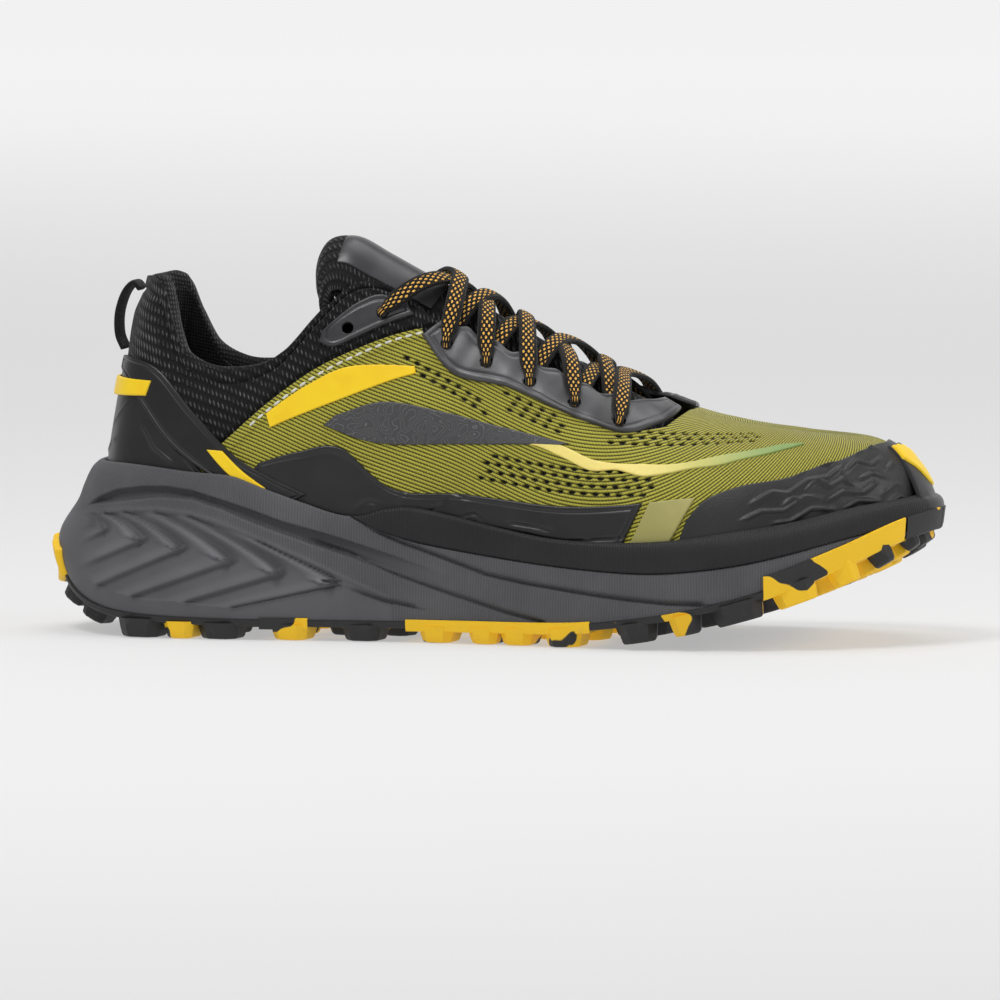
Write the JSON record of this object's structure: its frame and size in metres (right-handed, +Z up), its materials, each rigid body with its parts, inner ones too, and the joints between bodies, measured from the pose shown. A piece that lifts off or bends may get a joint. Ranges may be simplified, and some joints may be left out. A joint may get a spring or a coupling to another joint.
{
  "type": "running shoe",
  "caption": "Right trail running shoe with a cushioned two-foam sole, lugged rubber outsole, mesh upper with moulded overlays, padded collar and tongue, flat lace and heel pull tab",
  "frame": {"origin": "on the ground plane, below the middle of the shoe: the bottom centre of its bounding box", "axes": "+X from heel to toe, +Y towards the medial side, +Z up"},
  "size_m": [0.2978, 0.1062, 0.1314],
  "materials": {
    "black_rubber": "matt, moulded lugs",
    "yellow_rubber": "matt, moulded lugs",
    "grey_foam": "satin moulded foam",
    "black_foam": "ribbed moulded foam",
    "board_fabric": "stitched fibre board",
    "insole_fabric": "brushed knit over foam",
    "stiffener_plastic": "thermoformed sheet",
    "padding_foam": "open-cell foam",
    "black_lining": "knitted spacer lining",
    "olive_mesh": "ribbed engineered mesh",
    "black_mesh": "coarse woven mesh",
    "black_film": "embossed thermoplastic film",
    "grey_film": "satin thermoplastic film",
    "olive_film": "satin thermoplastic film",
    "yellow_film": "printed thermoplastic film",
    "pale_film": "printed thermoplastic film",
    "toe_film": "embossed thermoplastic film",
    "thread": "polyester thread",
    "lace_cord": "flat braid with yellow flecks",
    "webbing": "woven webbing"
  },
  "bodies": {
    "shoe": {"outsole_rubber": "black_rubber", "outsole_yellow_rear": "yellow_rubber", "outsole_yellow_heel": "yellow_rubber", "outsole_yellow_midfoot": "yellow_rubber", "outsole_yellow_forefoot": "yellow_rubber", "toe_bumper": "black_rubber", "toe_bumper_accent": "yellow_rubber", "midsole_lower_foam": "grey_foam", "midsole_upper_foam": "black_foam", "strobel_board": "board_fabric", "insole": "insole_fabric", "heel_stiffener": "stiffener_plastic", "toe_puff": "stiffener_plastic", "collar_foam": "padding_foam", "collar_lining": "black_lining", "collar_binding": "black_lining", "vamp_mesh": "olive_mesh", "heel_mesh": "black_mesh", "mudguard_lateral": "black_film", "mudguard_medial": "black_film", "side_band_lateral": "olive_film", "side_band_medial": "olive_film", "toe_cap": "toe_film", "eyestay_lateral": "grey_film", "eyestay_medial": "grey_film", "eyelet_panel_lateral": "black_film", "eyelet_panel_medial": "black_film", "heel_counter": "black_film", "heel_strap_lateral": "black_film", "heel_strap_medial": "black_film", "heel_accent": "yellow_film", "side_bar_lateral": "yellow_film", "side_bar_medial": "yellow_film", "side_emblem_lateral": "grey_film", "side_emblem_medial": "grey_film", "side_print_lateral": "yellow_film", "side_print_medial": "yellow_film", "side_streak_lateral": "pale_film", "side_streak_medial": "pale_film", "seam_stitching_lateral": "thread", "seam_stitching_medial": "thread", "lace": "lace_cord"},
    "tongue": {"tongue_body": "black_mesh", "tongue_lining": "black_lining", "tongue_patch": "grey_film"},
    "tab": {"pull_tab": "webbing"}
  },
  "joints": [
    {"name": "tongue_fold", "type": "hinge", "parent": "shoe", "child": "tongue", "pos_m": [0.05631, -0.00114, 0.0715], "axis": [0, -1, 0], "range_deg": [0, 8]},
    {"name": "pull_tab_swing", "type": "hinge", "parent": "shoe", "child": "tab", "pos_m": [-0.11949, -0.00114, 0.1126], "axis": [-0.2696, 0, -0.963], "range_deg": [-25, 25]}
  ]
}
